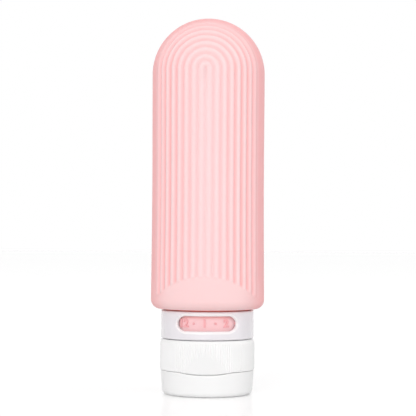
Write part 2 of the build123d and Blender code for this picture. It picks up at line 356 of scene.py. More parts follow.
class Formula:
    """Arithmetic and colours on the sockets of a node tree."""

    def __init__(self, tree: bpy.types.NodeTree) -> None:
        """Works on a tree.

        Args:
            tree: The node tree.
        """
        self.nodes, self.links = tree.nodes, tree.links

    def calc(self, operation: str, *values: Socket | float) -> Socket:
        """Adds one step of arithmetic.

        Args:
            operation: Name of the operation, as a Math node has it.
            values: Sockets or plain numbers to work on.

        Returns:
            The result's socket.
        """
        step = self.nodes.new("ShaderNodeMath")
        step.operation = operation
        for place, value in zip(step.inputs, values):
            if isinstance(value, Socket):
                self.links.new(value, place)
            else:
                place.default_value = value
        return step.outputs["Value"]

    def times(self, first: Socket, second: Socket | float) -> Socket:
        """Multiplies two values."""
        return self.calc("MULTIPLY", first, second)

    def rest(self, share: Socket) -> Socket:
        """Takes a share from 1."""
        return self.calc("SUBTRACT", 1.0, share)

    def slant(self, first: Socket, second: Socket) -> Socket:
        """Finds the length of a line from its two sides at a right angle."""
        square = self.calc("MULTIPLY_ADD", first, first, self.times(second, second))
        return self.calc("SQRT", square)

    def ramp(self, value: Socket, start: float, end: float) -> Socket:
        """Turns a value into a smooth rise from 0 to 1.

        Args:
            value: The value.
            start: Where the rise begins.
            end: Where the rise is complete.

        Returns:
            The rise's socket.
        """
        rise = self.nodes.new("ShaderNodeMapRange")
        rise.interpolation_type = "SMOOTHSTEP"
        rise.inputs["From Min"].default_value = start
        rise.inputs["From Max"].default_value = end
        self.links.new(value, rise.inputs["Value"])
        return rise.outputs["Result"]

    def scaled(self, value: Socket, low: float, high: float) -> Socket:
        """Stretches a value from between 0 and 1 to between two limits.

        Args:
            value: The value.
            low: The limit at 0.
            high: The limit at 1.

        Returns:
            The stretched value's socket.
        """
        stretch = self.nodes.new("ShaderNodeMapRange")
        stretch.inputs["To Min"].default_value = low
        stretch.inputs["To Max"].default_value = high
        self.links.new(value, stretch.inputs["Value"])
        return stretch.outputs["Result"]

    def noise(self, place: Socket, size: float, detail: float) -> Socket:
        """Reads soft noise at a place.

        Args:
            place: The place.
            size: Size of the noise's spots in millimetres.
            detail: How many finer layers lie on it.

        Returns:
            The noise's socket.
        """
        noise = self.nodes.new("ShaderNodeTexNoise")
        noise.inputs["Scale"].default_value = 1 / (size * MM)
        noise.inputs["Detail"].default_value = detail
        self.links.new(place, noise.inputs["Vector"])
        return noise.outputs["Fac"]

    def axes(self, place: Socket) -> tuple[Socket, ...]:
        """Splits a place.

        Args:
            place: The place.

        Returns:
            The sockets of its X, Y and Z.
        """
        split = self.nodes.new("ShaderNodeSeparateXYZ")
        self.links.new(place, split.inputs["Vector"])
        return tuple(split.outputs)

    def mix(self, under: Socket | Colour, over: Colour, share: Socket) -> Socket:
        """Mixes a colour over another.

        Args:
            under: The colour where the share is 0.
            over: The colour where it is 1.
            share: How much of the upper colour shows.

        Returns:
            The mixed colour's socket.
        """
        mix = self.nodes.new("ShaderNodeMix")
        mix.data_type = "RGBA"
        mix.inputs["B"].default_value = (*over, 1)
        if isinstance(under, Socket):
            self.links.new(under, mix.inputs["A"])
        else:
            mix.inputs["A"].default_value = (*under, 1)
        self.links.new(share, mix.inputs["Factor"])
        return mix.outputs["Result"]


@dataclass(frozen=True)
class BottlePaintedShade:
    """Painted shade on the bottle's pink: in the rib valleys, towards the plain sides, on the
    dome's upward-facing top and on the neck band; a painted shadow in the crease over the collar;
    and a shade deeper pink on the plain panel and shoulder.

    Places along a face are counted in ribs from its middle. Those named past are before the last
    rib's end if they are below 0. Heights on the neck are counted from its top, in millimetres.
    """

    ribs: Ribs = Ribs()
    # Painted shade: deeper pink in the valleys between the ribs, where the ribs shade each other.
    valley: Colour = (0.985, 0.465, 0.465)
    # A shade deeper pink on the plain panel and shoulder; also laid as painted shade on the dome's
    # upward-facing top.
    panel: Colour = (0.985, 0.672, 0.675)
    # Painted shade: deeper pink towards the plain sides, where the light falls off at the edges.
    side: Colour = (0.985, 0.51, 0.515)
    # Painted shade: deeper pink on the neck band, which lies in the collar's shade.
    neck: Colour = (0.985, 0.63, 0.65)
    # Painted shadow: deep orange-pink in the crease under the shoulder, reaching down over the top
    # of the band in the window.
    crease_shadow: Colour = (0.96, 0.23, 0.18)
    valley_width: float = 0.43
    valleys_faint: float = -2.0
    valleys_full_past: float = -1.0
    strip_start_past: float = -0.2
    strip_full_past: float = 0.7
    side_start_past: float = -3.5
    side_full_past: float = 2.5
    calm_overhead: float = 0.34
    # How much painted shade darkens the dome's upward-facing top.
    dome_top_shade: float = 0.7
    neck_start: float = 0.3
    neck_full: float = -0.2
    crease_start: float = -3.6
    crease_full: float = -0.4

    def ribbed(self, formula: Formula, across: Socket, height: Socket) -> Socket:
        """Finds where the ribs are, over the panel and the shoulder.

        Args:
            formula: The material's arithmetic.
            across: Distance from the middle plane of the face.
            height: Height over the floor.

        Returns:
            A share that is 1 on the ribs.
        """
        ribs = self.ribs
        low = formula.calc("SUBTRACT", height, (ribs.panel_top - ribs.panel_radius) * MM)
        over_panel = formula.ramp(formula.slant(across, low), ribs.panel_radius * MM,
                                  (ribs.panel_radius + ribs.fade) * MM)
        over_shoulder = formula.ramp(height, ribs.panel_lowest * MM,
                                     (ribs.panel_lowest + ribs.fade) * MM)
        return formula.times(over_panel, over_shoulder)

    def beside(self, formula: Formula, along: Socket, height: Socket) -> Socket:
        """Finds the plain sides between the two ribbed faces and the outer ribs next to them, for
        the painted shade towards the sides.

        Args:
            formula: The material's arithmetic.
            along: Number of ribs from the middle of the face.
            height: Height over the floor.

        Returns:
            A share that is 1 in the middle of a side.
        """
        ribs, last = self.ribs, self.ribs.each_side
        strip = formula.times(
            formula.ramp(along, last + self.strip_start_past, last + self.strip_full_past),
            formula.ramp(height, ribs.panel_lowest * MM, ribs.panel_top * MM))
        wide = formula.ramp(along, last + self.side_start_past, last + self.side_full_past)
        return formula.calc("MAXIMUM", strip, wide)

    def apply(self, formula: Formula, place: Socket, colour: Socket) -> Socket:
        """Paints shade and shadow into the bottle's colour.

        Args:
            formula: The material's arithmetic.
            place: The place on the bottle.
            colour: The colour on top of a rib.

        Returns:
            The socket of the colour with the painted shade laid over it.
        """
        ribs = self.ribs
        across, depth, height = formula.axes(place)
        rise = formula.calc("MAXIMUM", formula.calc("SUBTRACT", height, ribs.arch_centre * MM), 0.0)
        reach = formula.slant(across, rise)
        turn = formula.calc("ARCTAN2", reach, formula.calc("ABSOLUTE", depth))
        along = formula.calc("DIVIDE", turn, math.radians(ribs.step))
        overhead = formula.calc("DIVIDE", rise, reach)
        ribbed = self.ribbed(formula, across, height)
        # Mask of the painted shade towards the sides.
        beside = self.beside(formula, along, height)
        # Painted shade in the rib valleys, weaker on the dome's upward-facing top.
        crest = formula.ramp(formula.calc("PINGPONG", along, 0.5), 0.0, self.valley_width)
        valley = formula.times(formula.rest(crest), formula.rest(beside))
        valley = formula.times(valley, formula.ramp(
            along, self.valleys_faint, ribs.each_side + self.valleys_full_past))
        valley = formula.times(valley, formula.rest(formula.times(overhead, self.calm_overhead)))
        # A shade deeper pink on the plain panel and shoulder, and painted shade on the dome's
        # upward-facing top.
        plain = formula.calc("MAXIMUM", formula.rest(ribbed),
                             formula.times(overhead, self.dome_top_shade))
        # Painted shade on the neck band under the shoulder.
        neck = formula.ramp(height, (ribs.neck_top + self.neck_start) * MM,
                            (ribs.neck_top + self.neck_full) * MM)
        # Painted shadow in the crease under the shoulder, fading down over the top of the band.
        crease_shadow = formula.times(neck, formula.ramp(height, (ribs.neck_top + self.crease_start) * MM,
                                                  (ribs.neck_top + self.crease_full) * MM))
        # Lays the painted shade and painted shadow over the colour, one after another.
        for tint, share in ((self.panel, plain), (self.valley, formula.times(valley, ribbed)),
                            (self.side, beside), (self.neck, neck), (self.crease_shadow, crease_shadow)):
            colour = formula.mix(colour, tint, share)
        return colour


@dataclass(frozen=True)
class RimPaintedHighlight:
    """Painted highlight: a paler band on the rolled rim round the collar's window, which is a slot
    with rounded ends.
    """

    # The painted highlight's colour.
    colour: Colour = (0.97, 0.955, 0.97)
    turn: float = 2.4
    middle: float = 24.9
    length: float = 19.2
    height: float = 5.0
    rim: float = 0.75
    fade: float = 0.35

    def apply(self, formula: Formula, place: Socket, colour: Socket) -> Socket:
        """Paints the rim's highlight into the collar's colour.

        Args:
            formula: The material's arithmetic.
            place: The place on the collar.
            colour: The colour away from the rim.

        Returns:
            The socket of the colour with the painted highlight.
        """
        across, depth, height = formula.axes(place)
        sine, cosine = math.sin(math.radians(self.turn)), math.cos(math.radians(self.turn))
        ahead = formula.calc("MULTIPLY_ADD", across, sine, formula.times(depth, -cosine))
        beside = formula.calc("MULTIPLY_ADD", across, cosine, formula.times(depth, sine))
        straight = (self.length - self.height) / 2 * MM
        past_straight = formula.calc("MAXIMUM", formula.calc(
            "SUBTRACT", formula.calc("ABSOLUTE", beside), straight), 0.0)
        rise = formula.calc("SUBTRACT", height, self.middle * MM)
        edge = self.height / 2 + self.rim
        rim = formula.ramp(formula.slant(rise, past_straight), (edge + self.fade) * MM, edge * MM)
        in_front = formula.calc("GREATER_THAN", ahead, 0.0)
        # Painted highlight on the front half of the rim only.
        return formula.mix(colour, self.colour, formula.times(in_front, rim))


@dataclass(frozen=True)
class Finish:
    """A moulded plastic or rubber finish, with its grain, clouding and inner glow, and any painted
    shade or highlight laid over its colour.
    """

    name: str
    colour: Colour
    deep_colour: Colour
    roughness: float
    shine: float
    glow: float
    glow_radius: tuple[float, float, float]
    glow_depth: float
    grain_size: float
    grain_depth: float
    coat: float = 0.0
    clear: float = 0.0
    ior: float = 1.46
    coat_roughness: float = 0.08
    cloud_size: float = 22.0
    cloud_detail: float = 3.0
    grain_detail: float = 4.0
    roughness_spread: float = 0.06
    # Painted shade, shadow or highlight laid over the colour.
    painted_light: BottlePaintedShade | RimPaintedHighlight | None = None

    def material(self) -> bpy.types.Material:
        """Builds the finish as a node material.

        Returns:
            The new material.
        """
        made = bpy.data.materials.new(self.name)
        made.use_nodes = True
        nodes, links = made.node_tree.nodes, made.node_tree.links
        formula = Formula(made.node_tree)
        shader = nodes["Principled BSDF"]
        for socket, value in (("IOR", self.ior), ("Specular IOR Level", self.shine),
                              ("Subsurface Weight", self.glow),
                              ("Subsurface Radius", self.glow_radius),
                              ("Subsurface Scale", self.glow_depth * MM),
                              ("Coat Weight", self.coat), ("Coat Roughness", self.coat_roughness),
                              ("Transmission Weight", self.clear)):
            shader.inputs[socket].default_value = value
        place = nodes.new("ShaderNodeTexCoord").outputs["Object"]
        clouds = formula.noise(place, self.cloud_size, self.cloud_detail)
        colour = formula.mix(self.deep_colour, self.colour, clouds)
        # Lays on the painted shade or highlight.
        if self.painted_light:
            colour = self.painted_light.apply(formula, place, colour)
        links.new(colour, shader.inputs["Base Color"])
        grain = formula.noise(place, self.grain_size, self.grain_detail)
        links.new(formula.scaled(grain, self.roughness - self.roughness_spread,
                                 self.roughness + self.roughness_spread),
                  shader.inputs["Roughness"])
        relief = nodes.new("ShaderNodeBump")
        relief.inputs["Strength"].default_value = 1.0
        relief.inputs["Distance"].default_value = self.grain_depth * MM
        links.new(grain, relief.inputs["Height"])
        links.new(relief.outputs["Normal"], shader.inputs["Normal"])
        return made


PINK_SILICONE = Finish(
    name="pink_silicone", colour=(0.985, 0.715, 0.722), deep_colour=(0.98, 0.70, 0.707),
    roughness=0.6, shine=0.3, glow=0.15, glow_radius=(1.0, 0.6, 0.55), glow_depth=0.8,
    grain_size=0.25, grain_depth=0.003, painted_light=BottlePaintedShade())
# Painted shade: a darker copy of the pink silicone for the raised numbers and dots, standing for
# the shading of their relief.
DIAL_SHADED_PINK = Finish(
    name="dial_shaded_pink", colour=(0.93, 0.46, 0.48), deep_colour=(0.92, 0.45, 0.47),
    roughness=0.6, shine=0.3, glow=0.1, glow_radius=(1.0, 0.6, 0.55), glow_depth=0.4,
    grain_size=0.25, grain_depth=0.003)
FROSTED_PLASTIC = Finish(
    name="frosted_plastic", colour=(0.84, 0.815, 0.85), deep_colour=(0.825, 0.80, 0.835),
    roughness=0.22, shine=0.5, glow=0.4, glow_radius=(1.0, 1.0, 1.0), glow_depth=1.5,
    grain_size=0.6, grain_depth=0.001, coat=0.4, painted_light=RimPaintedHighlight())
WHITE_PLASTIC = Finish(
    name="white_plastic", colour=(0.93, 0.93, 0.928), deep_colour=(0.92, 0.92, 0.92),
    roughness=0.38, shine=0.5, glow=0.3, glow_radius=(1.0, 1.0, 1.0), glow_depth=1.0,
    grain_size=0.2, grain_depth=0.002)
CLEAR_SILICONE = Finish(
    name="clear_silicone", colour=(0.82, 0.83, 0.84), deep_colour=(0.76, 0.77, 0.79),
    roughness=0.4, shine=0.5, glow=0.5, glow_radius=(1.0, 1.0, 1.0), glow_depth=2.0,
    grain_size=0.2, grain_depth=0.002, clear=0.3)


class Wardrobe:
    """The finishes of the bottle, each made once."""

    def __init__(self) -> None:
        """Makes the materials."""
        self.materials = {
            Slot.PINK_SILICONE: PINK_SILICONE.material(),
            Slot.FROSTED_PLASTIC: FROSTED_PLASTIC.material(),
            Slot.WHITE_PLASTIC: WHITE_PLASTIC.material(),
            Slot.CLEAR_SILICONE: CLEAR_SILICONE.material(),
        }
        # The painted darker shade for the raised numbers.
        self.dial_shade = DIAL_SHADED_PINK.material()

    def dress(self, piece: bpy.types.Object, slot: Slot,
              shade: bpy.types.Material | None = None) -> None:
        """Gives a new piece its finish.

        Args:
            piece: The piece.
            slot: The record's slot that it takes its finish from.
            shade: A painted darker shade of that finish, if the piece has one.
        """
        piece.data.materials.append(shade or self.materials[slot])

    def dress_node(self, node: str, slot: Slot) -> None:
        """Gives a carried-over node its finish through its object's own slots.

        Args:
            node: The node's name.
            slot: The record's slot that it takes its finish from.
        """
        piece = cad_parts[node]
        for place in piece.material_slots:
            place.link = "OBJECT"
            place.material = self.materials[slot]
        LOG.info("node %s wears %s", node, slot.value)


def settle(piece: bpy.types.Object, body: Body, *nodes: str) -> None:
    """Lets a piece ride on a body and stand for nodes.

    Args:
        piece: The finished piece.
        body: The body that carries it.
        nodes: Names of the nodes that it stands for.
    """
    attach(piece, body.value)
    if nodes:
        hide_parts(*nodes)
    LOG.info("piece %s rides on %s", piece.name, body.value)


@dataclass
class SqueezeBody:
    """The soft ribbed bottle, from its dome down to the lip inside the cap.

    The rows at the edge are heights over the place where the ribs run out into the panel.
    """

    ribs: Ribs = field(default_factory=Ribs)
    radius: float = 19.55
    foot_radius: float = 19.67
    wall: float = 1.9
    swell_top: float = 58.6
    swell_power: float = 1.5
    waist_height: float = 72.0
    waist_depth: float = 0.13
    waist_reach: float = 24.0
    shoulder_round: float = 3.2
    inner_round: float = 1.6
    band_radius: float = 14.3
    band_bottom: float = 20.9
    band_wall: float = 2.0
    neck_radius: float = 11.95
    neck_wall: float = 1.6
    lip_radius: float = 13.2
    lip_top: float = 13.3
    lip_bottom: float = 12.65
    lip_corner: float = 0.2
    neck_corner: float = 0.3
    bore_corner: float = 0.4
    crease_width: float = 0.8
    ribs_gone: float = -0.1
    panel_blend: float = 14.0
    edge_rows: tuple[float, ...] = (1.4, 1.15, 0.95, 0.75, 0.55, 0.35, 0.15, -0.05, -0.15)
    straight_steps: int = 14
    panel_steps: int = 9
    steps_per_rib: int = 12
    side_steps: int = 14
    arch_steps: int = 120
    dome_steps: int = 18
    shoulder_steps: int = 9

    def quarter(self) -> list[float]:
        """Spaces the columns of a quarter turn, closely on the ribs.

        Returns:
            Degrees from the middle of a face to the side line.
        """
        rib_end = self.ribs.each_side * self.ribs.step
        count = self.ribs.each_side * self.steps_per_rib
        turns = [rib_end * index / count for index in range(count)]
        return turns + [rib_end + (90 - rib_end) * index / self.side_steps
                        for index in range(self.side_steps + 1)]

    def whole_turn(self) -> list[float]:
        """Spaces the columns all the way round.

        Returns:
            Degrees from the middle of the front.
        """
        quarter = self.quarter()
        half = quarter + [180 - turn for turn in reversed(quarter[:-1])]
        return half + [360 - turn for turn in reversed(half[1:-1])]

    def face_turn(self, turn: float) -> float:
        """Degrees between a column and the middle of the nearer face."""
        folded = turn % 180
        return min(folded, 180 - folded)

    def side_radius(self, height: float) -> float:
        """Radius of the plain side.

        Args:
            height: Height over the floor.

        Returns:
            The radius, with a slight waist and a swell towards the shoulder.
        """
        swell_bottom = self.ribs.neck_top + self.shoulder_round
        share = max(0.0, (self.swell_top - height) / (self.swell_top - swell_bottom))
        swell = (self.foot_radius - self.radius) * share**self.swell_power
        away = (height - self.waist_height) / self.waist_reach
        return self.radius + swell - self.waist_depth * math.exp(-(away**2))

    def skin_point(self, turn: float, above_edge: float) -> Point:
        """Point of the ribbed or panelled side.

        Args:
            turn: Degrees of the column.
            above_edge: Height over the panel's edge, below 0 on the panel.

        Returns:
            The point on the outside.
        """
        face_turn = self.face_turn(turn)
        across = self.radius * math.sin(math.radians(face_turn))
        height = self.ribs.panel_edge(min(across, self.ribs.panel_radius)) + above_edge
        side = self.side_radius(height)
        shown = smooth_step(above_edge, self.ribs_gone, self.ribs.fade)
        panel = max(0.0, self.ribs.panel_surface - side)
        panel *= 1 - smooth_step(face_turn, self.ribs.panel_side - self.panel_blend,
                                 self.ribs.panel_side)
        return polar(side + self.ribs.lift(face_turn) * shown + panel * (1 - shown), turn, height)

    def ribbed_rings(self, draft: MeshDraft, turns: list[float]) -> list[list[int]]:
        """Draws the side from the dome's centre down to the top of the shoulder.

        Args:
            draft: The draft to draw in.
            turns: Degrees of the columns.

        Returns:
            The rings from top to bottom.
        """
        top, bottom = self.ribs.arch_centre, self.ribs.neck_top + self.shoulder_round
        first, last = self.edge_rows[0], self.edge_rows[-1]
        edges = []
        for turn in turns:
            across = self.radius * math.sin(math.radians(self.face_turn(turn)))
            edges.append(self.ribs.panel_edge(min(across, self.ribs.panel_radius)))
        rows = []
        for step in range(self.straight_steps):
            share = step / self.straight_steps
            rows.append([(top - edge) * (1 - share) + first * share for edge in edges])
        rows += [[above] * len(turns) for above in self.edge_rows]
        for step in range(1, self.panel_steps + 1):
            share = step / self.panel_steps
            rows.append([(bottom - edge) * share + last * (1 - share) for edge in edges])
        return [draft.row([self.skin_point(turn, above) for turn, above in zip(turns, row)])
                for row in rows]

    def dome(self, draft: MeshDraft, rim: list[int]) -> None:
        """Closes the top with the arched half dome of each face.

        Args:
            draft: The draft to draw in.
            rim: The ring at the height of the dome's centre.
        """
        quarter = self.quarter()
        last = len(quarter) - 1
        crown = self.row_over(draft, 90.0, 0.0, Face.FRONT)
        for face in Face:
            columns = [[]]
            for index in range(1, last):
                turn = quarter[index]
                columns.append(self.row_over(draft, turn, self.ribs.lift(turn), face))
            columns.append(crown)
            for index in range(1, last + 1):
                right = index if face is Face.FRONT else 2 * last - index
                left = -index if face is Face.FRONT else 2 * last + index
                columns[index] = [rim[right], *columns[index], rim[left]]
            pole = rim[0] if face is Face.FRONT else rim[2 * last]
            for inner, outer in zip(columns[1:], columns[2:]):
                draft.bridge(inner, outer, closed=False)
            for start, end in zip(columns[1], columns[1][1:]):
                draft.faces.append((start, end, pole))

    def row_over(self, draft: MeshDraft, turn: float, lift: float, face: Face) -> list[int]:
        """Draws one arch over the dome, without its two feet.

        Args:
            draft: The draft to draw in.
            turn: Degrees between the arch and the middle of the face.
            lift: Height of the ribs there.
            face: The face that carries the arch.

        Returns:
            The arch's point numbers from right to left.
        """
        reach = self.radius + lift
        across = reach * math.sin(math.radians(turn))
        depth = face.value * reach * math.cos(math.radians(turn))
        points = []
        for step in range(1, self.arch_steps):
            rise = math.pi * step / self.arch_steps
            points.append((across * math.cos(rise), depth,
                           self.ribs.arch_centre + across * math.sin(rise)))
        return draft.row(points)

    def neck_profile(self) -> Profile:
        """Draws the profile from the shoulder's underside round the lip and up inside.

        Returns:
            Radius and height of each point, up to the dome's centre.
        """
        inside = self.radius - self.wall
        ledge = self.ribs.neck_top
        ceiling = ledge + self.wall
        floor_inside = self.band_bottom + self.band_wall
        bore = self.neck_radius - self.neck_wall
        band_bore = self.band_radius - self.band_wall
        return rounded_profile([
            (self.band_radius + self.crease_width, ledge, 0),
            (self.band_radius, ledge, self.neck_corner),
            (self.band_radius, self.band_bottom, self.neck_corner),
            (self.neck_radius, self.band_bottom, self.neck_corner),
            (self.neck_radius, self.lip_top, self.lip_corner),
            (self.lip_radius, self.lip_top, self.lip_corner),
            (self.lip_radius, self.lip_bottom, self.lip_corner),
            (bore, self.lip_bottom, self.lip_corner),
            (bore, floor_inside, self.neck_corner),
            (band_bore, floor_inside, self.bore_corner),
            (band_bore, ceiling, self.bore_corner),
            (inside, ceiling, self.inner_round),
            (inside, self.ribs.arch_centre, 0),
        ])

    def build(self, wardrobe: Wardrobe) -> None:
        """Builds the bottle's skin, inside and out, and dresses it.

        Args:
            wardrobe: The finishes.
        """
        draft = MeshDraft()
        turns = self.whole_turn()
        rings = self.ribbed_rings(draft, turns)
        self.dome(draft, rings[0])
        rings += self.shoulder(draft, rings[-1], turns)
        rings += [draft.ring(across, height, turns) for across, height in self.neck_profile()]
        inside, centre = self.radius - self.wall, self.ribs.arch_centre
        for step in range(1, self.dome_steps):
            angle = math.radians(90 / self.dome_steps * step)
            rings.append(draft.ring(inside * math.cos(angle), centre + inside * math.sin(angle),
                                    turns))
        draft.loft(rings)
        draft.fan(rings[-1], (0, 0, centre + inside))
        piece = draft.to_piece("squeeze_body")
        wardrobe.dress(piece, Slot.PINK_SILICONE)
        settle(piece, Body.BOTTLE, "silicone_bottle")

    def shoulder(self, draft: MeshDraft, rim: list[int], turns: list[float]) -> list[list[int]]:
        """Draws the round shoulder under the side.

        Args:
            draft: The draft to draw in.
            rim: The side's lowest ring.
            turns: Degrees of the columns.

        Returns:
            The shoulder's rings from top to bottom.
        """
        proud = [math.hypot(*draft.points[number][:2]) - self.foot_radius for number in rim]
        rings = []
        for step in range(1, self.shoulder_steps + 1):
            angle = math.radians(90 / self.shoulder_steps * step)
            across = self.foot_radius - self.shoulder_round * (1 - math.cos(angle))
            height = self.ribs.neck_top + self.shoulder_round * (1 - math.sin(angle))
            rings.append(draft.row([polar(across + extra * math.cos(angle), turn, height)
                                    for extra, turn in zip(proud, turns)]))
        return rings


@dataclass
class DialBand:
    """Raised plain numbers and dots round the neck band, read through the collar's window.

    The top of a dot is drawn from shares of its radius and their heights over the band.
    """

    count: int = 12
    band_radius: float = 14.3
    middle: float = 24.9
    digit_height: float = 2.7
    raised: float = 0.35
    root: float = 0.15
    digit_bevel: float = 0.05
    digit_bold: float = 0.09
    letter_size: float = 1.4
    dot_radius: float = 0.42
    dot_sides: int = 16
    dot_top: tuple[tuple[float, float], ...] = ((1.0, 0.2), (0.86, 0.28), (0.5, 0.33))
    first_turn: float = -0.7

    def digit_mesh(self, text: str) -> bpy.types.Mesh:
        """Draws a number, flat in X and Y and raised in Z, in millimetres.

        Args:
            text: The number.

        Returns:
            Its mesh.
        """
        curve = bpy.data.curves.new("number_" + text, "FONT")
        curve.body = text
        curve.align_x = "CENTER"
        curve.align_y = "CENTER"
        curve.size = self.digit_height * self.letter_size
        curve.extrude = (self.raised + self.root) / 2
        curve.bevel_depth = self.digit_bevel
        curve.offset = self.digit_bold
        source = bpy.data.objects.new("number_" + text, curve)
        bpy.context.scene.collection.objects.link(source)
        bpy.context.view_layer.update()
        mesh = bpy.data.meshes.new_from_object(source)
        bpy.data.objects.remove(source)
        return mesh

    def add_number(self, draft: MeshDraft, text: str, turn: float) -> None:
        """Wraps a number round the band.

        Args:
            draft: The draft to draw in.
            text: The number.
            turn: Degrees of its middle.
        """
        mesh = self.digit_mesh(text)
        start = len(draft.points)
        for corner in mesh.vertices:
            across, up, out = corner.co
            reach = self.band_radius + out + (self.raised - self.root) / 2
            spread = math.degrees(across / self.band_radius)
            draft.points.append(polar(reach, turn + spread, self.middle + up))
        for polygon in mesh.polygons:
            draft.faces.append(tuple(start + index for index in polygon.vertices))
        bpy.data.meshes.remove(mesh)

    def add_dot(self, draft: MeshDraft, turn: float) -> None:
        """Adds a raised round dot.

        Args:
            draft: The draft to draw in.
            turn: Degrees of its middle.
        """
        rows = []
        for share, out in ((1.0, -self.root), *self.dot_top):
            radius = share * self.dot_radius
            points = []
            for corner in range(self.dot_sides):
                angle = math.tau * corner / self.dot_sides
                spread = math.degrees(radius * math.cos(angle) / self.band_radius)
                points.append(polar(self.band_radius + out, turn + spread,
                                    self.middle + radius * math.sin(angle)))
            rows.append(draft.row(points))
        draft.loft(rows)
        draft.fan(rows[-1], polar(self.band_radius + self.raised, turn, self.middle))
        draft.fan(rows[0], polar(self.band_radius - self.root, turn, self.middle))

    def build(self, wardrobe: Wardrobe) -> None:
        """Builds the numbers and dots as one piece and dresses it.

        Args:
            wardrobe: The finishes.
        """
        draft = MeshDraft()
        step = 360 / self.count
        for index in range(self.count):
            turn = self.first_turn + index * step
            self.add_number(draft, str(index + 1), turn)
            self.add_dot(draft, turn + step / 2)
        piece = draft.to_piece("dial_numbers")
        # The numbers and dots wear the painted darker shade of the silicone.
        wardrobe.dress(piece, Slot.PINK_SILICONE, wardrobe.dial_shade)
        settle(piece, Body.BOTTLE)


@dataclass
class ScrewCap:
    """The knurled cap with its thumb scoop, sealing pocket, outlet nozzle and thread.

    Each row at the rim or the mouth has its height from there and its inset. The sizes whose names
    begin with before or past, and rows_apart, keep stretches of rows clear of each other.
    """

    radius: float = 16.36
    bottom: float = 8.5
    top: float = 19.12
    knurls: int = 120
    knurl_depth: float = 0.2
    columns_per_knurl: int = 6
    bevel_in: float = 0.65
    bevel_down: float = 1.1
    bevel_blend: float = 0.2
    scoop_depth: float = 1.5
    scoop_height: float = 6.45
    scoop_round: float = 62.0
    scoop_edge: float = 0.3
    scoop_margin: float = 1.0
    tongue_depth: float = 0.9
    tongue_half_width: float = 9.3
    tongue_round: float = 48.2
    tongue_blend: float = 1.5
    dip_margin: float = 0.5
    seat_plane: float = 15.02
    seat_top: float = 10.85
    rim_rows: tuple[tuple[float, float], ...] = ((0.0, 0.18), (0.05, 0.06), (0.18, 0.0))
    mouth_rows: tuple[tuple[float, float], ...] = ((0.04, 0.03), (0.0, 0.12))
    seat_edge: float = 0.001
    rows_apart: float = 0.3
    before_seat: float = 0.1
    past_scoop: float = 0.4
    before_mouth: float = 0.08
    fine_step: float = 0.16
    plain_step: float = 0.4
    bevel_step: float = 0.1
    mouth_bevel: float = 0.4
    mouth_corner: float = 0.08
    corner: float = 0.2
    fine_corner: float = 0.1
    outlet_corner: float = 0.25
    deck_corner: float = 0.3
    rim_bore: float = 13.275
    snap_radius: float = 14.275
    snap_reach: float = 1.8
    snap_gap_half: float = 6.3
    snap_steps: int = 240
    deck_bottom: float = 9.9
    deck_top: float = 11.3
    nozzle_radius: float = 5.2
    outlet_radius: float = 4.0
    nozzle_end: float = 7.0
    boss_radius: float = 7.2
    boss_bore: float = 6.0
    boss_top: float = 13.6
    seal_wall: float = 13.5
    step_bottom: float = 13.6
    step_height: float = 0.5
    thread_bore: float = 14.55
    thread_pitch: float = 2.0
    thread_height: float = 0.8
    thread_root: float = 0.9
    thread_crest: float = 0.45
    thread_margin: float = 0.35
    thread_steps: int = 200
    collar_sleeve_bottom: float = 13.6
    sunk: float = 0.2

    def turns(self) -> list[float]:
        """Degrees of the columns, several to each knurl."""
        count = self.knurls * self.columns_per_knurl
        return [360 * index / count for index in range(count)]

    def scoop_reach(self, turn: float, height: float) -> float:
        """Distance from the axis to the scoop's face.

        Args:
            turn: Degrees of the column.
            height: Height over the floor.

        Returns:
            The distance, or a large one where the scoop isn't.
        """
        angle = math.radians(turn)
        ahead = math.cos(angle)
        rise = height - self.bottom
        if ahead < WELL_FACING or rise > self.scoop_height + self.scoop_margin:
            return 2 * self.radius
        depth = self.radius - self.scoop_depth * (1 - rise / self.scoop_height)
        bow = math.sin(angle) ** 2 / (2 * self.scoop_round)
        if bow < STRAIGHT:
            return depth / ahead
        return (-ahead + math.sqrt(ahead**2 + 4 * bow * depth)) / (2 * bow)

    def knurl(self, turn: float) -> float:
        """Depth of the knurling, from 0 on a land to its full depth in a groove."""
        share = (turn * self.knurls / 360) % 1
        return self.knurl_depth * 0.5 * (1 - math.cos(math.tau * share))

    def outside(self, turn: float, height: float, inset: float) -> float:
        """Radius of the outside.

        Args:
            turn: Degrees of the column.
            height: Height over the floor.
            inset: How far the row is set in, at a rounded rim.

        Returns:
            The radius with knurl, bevel, scoop and hinge seat.
        """
        side = self.radius - self.knurl(turn)
        rise = height - self.top + self.bevel_down
        bevel = self.radius - self.bevel_in * rise / self.bevel_down
        side = soft_min(side, bevel, self.bevel_blend)
        side = soft_min(side, self.scoop_reach(turn, height), self.scoop_edge)
        back = -math.cos(math.radians(turn))
        if height < self.seat_top and back > WELL_FACING:
            side = min(side, self.seat_plane / back)
        return side - inset

    def sag(self, turn: float, height: float) -> float:
        """How far a row dips into the lid's notch.

        Args:
            turn: Degrees of the column.
            height: Height of the row where nothing dips.

        Returns:
            The dip, which dies away over the first rows above the rim.
        """
        if math.cos(math.radians(turn)) < 0:
            return 0.0
        across = self.radius * math.sin(math.radians(turn))
        if abs(across) > self.tongue_half_width:
            return 0.0
        arc = self.tongue_round - math.sqrt(self.tongue_round**2 - across**2)
        share = max(0.0, 1 - max(0.0, height - self.bottom) / self.tongue_blend)
        return max(0.0, self.tongue_depth - arc) * share

    def ring_at(self, draft: MeshDraft, turns: list[float], height: float,
                radii: list[float]) -> list[int]:
        """Draws a ring that follows the dip at the front.

        Args:
            draft: The draft to draw in.
            turns: Degrees of the columns.
            height: Height of the ring where nothing dips.
            radii: Radius of each column.

        Returns:
            The ring's point numbers.
        """
        return draft.row([polar(across, turn, height - self.sag(turn, height))
                          for across, turn in zip(radii, turns)])

